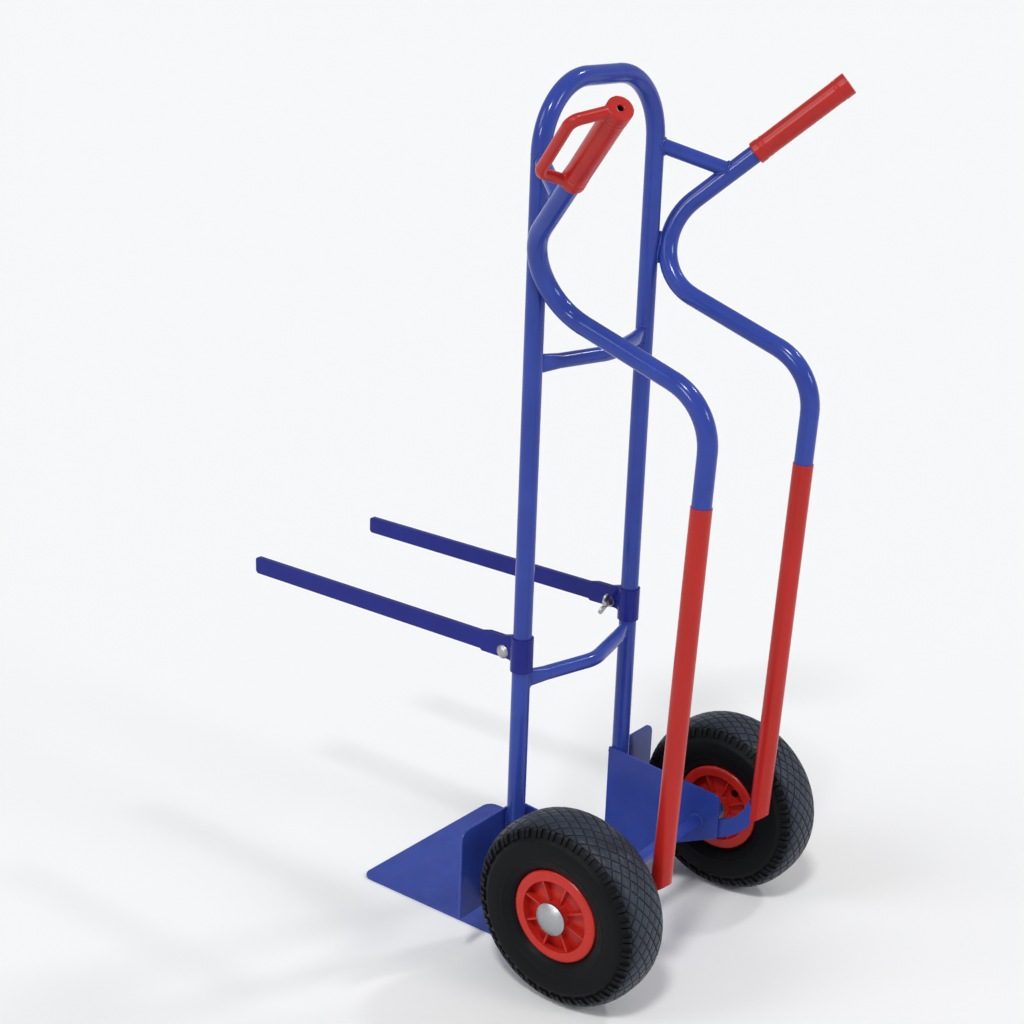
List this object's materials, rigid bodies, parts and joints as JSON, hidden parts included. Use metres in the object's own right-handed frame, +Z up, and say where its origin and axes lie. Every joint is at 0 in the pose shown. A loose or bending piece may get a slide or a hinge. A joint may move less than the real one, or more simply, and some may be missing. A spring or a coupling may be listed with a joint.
{
  "type": "stacking chair trolley",
  "caption": "Welded tube hand trolley for stacked chairs: toe plate, air-tyred wheels, splayed handles that run down into skids, and support arms clamped to the uprights.",
  "frame": {"origin": "on the floor under the middle of the trolley's box", "axes": "+Z up, -Y towards the load, +X to the left of the person pushing"},
  "size_m": [0.6014, 0.768, 1.1721],
  "materials": {
    "blue_paint": "glossy powder coat",
    "dark_blue_paint": "glossy powder coat, a little darker",
    "red_plastic": "moulded plastic, semi-gloss",
    "red_rim": "moulded plastic, gloss",
    "tyre_rubber": "matt black rubber with block tread",
    "tube_rubber": "matt butyl rubber",
    "zinc": "bright zinc plate",
    "bearing_plastic": "natural nylon"
  },
  "bodies": {
    "frame": {"u_frame": "blue_paint", "upper_crossbar": "blue_paint", "lower_crossbar": "blue_paint", "toe_plate": "blue_paint", "axle": "blue_paint", "axle_washers": "zinc", "left_handle_tube": "blue_paint", "right_handle_tube": "blue_paint", "left_brace": "blue_paint", "right_brace": "blue_paint", "left_grip": "red_plastic", "right_grip": "red_plastic", "left_skid_sleeve": "red_plastic", "right_skid_sleeve": "red_plastic", "left_skid_foot": "blue_paint", "right_skid_foot": "blue_paint", "left_side_plate": "blue_paint", "right_side_plate": "blue_paint", "left_wheel_guard": "blue_paint", "right_wheel_guard": "blue_paint", "left_axle_spacer": "blue_paint", "right_axle_spacer": "blue_paint", "left_axle_cap": "zinc", "right_axle_cap": "zinc"},
    "left_wheel": {"left_tyre": "tyre_rubber", "left_inner_tube": "tube_rubber", "left_valve": "tube_rubber", "left_rim": "red_rim", "left_bearings": "bearing_plastic"},
    "right_wheel": {"right_tyre": "tyre_rubber", "right_inner_tube": "tube_rubber", "right_valve": "tube_rubber", "right_rim": "red_rim", "right_bearings": "bearing_plastic"},
    "left_support_arm": {"left_arm": "dark_blue_paint", "left_clamp_bolt": "zinc", "left_clamp_washer": "zinc"},
    "right_support_arm": {"right_arm": "dark_blue_paint", "right_clamp_bolt": "zinc", "right_clamp_washer": "zinc"},
    "left_nut": {"left_wing_nut": "zinc"},
    "right_nut": {"right_wing_nut": "zinc"}
  },
  "joints": [
    {"name": "left_wheel_spin", "type": "hinge", "parent": "frame", "child": "left_wheel", "pos_m": [0.197, 0.254, 0.13], "axis": [1, 0, 0], "continuous": true},
    {"name": "left_arm_height", "type": "slide", "parent": "frame", "child": "left_support_arm", "axis": [0, 0, 1], "range_m": [0, 0.35]},
    {"name": "left_nut_turn", "type": "hinge", "parent": "left_support_arm", "child": "left_nut", "pos_m": [0.11, 0.078, 0.4149], "axis": [1, 0, 0], "continuous": true},
    {"name": "right_wheel_spin", "type": "hinge", "parent": "frame", "child": "right_wheel", "pos_m": [-0.197, 0.254, 0.13], "axis": [1, 0, 0], "continuous": true},
    {"name": "right_arm_height", "type": "slide", "parent": "frame", "child": "right_support_arm", "axis": [0, 0, 1], "range_m": [0, 0.35]},
    {"name": "right_nut_turn", "type": "hinge", "parent": "right_support_arm", "child": "right_nut", "pos_m": [-0.11, 0.078, 0.4149], "axis": [1, 0, 0], "continuous": true}
  ]
}
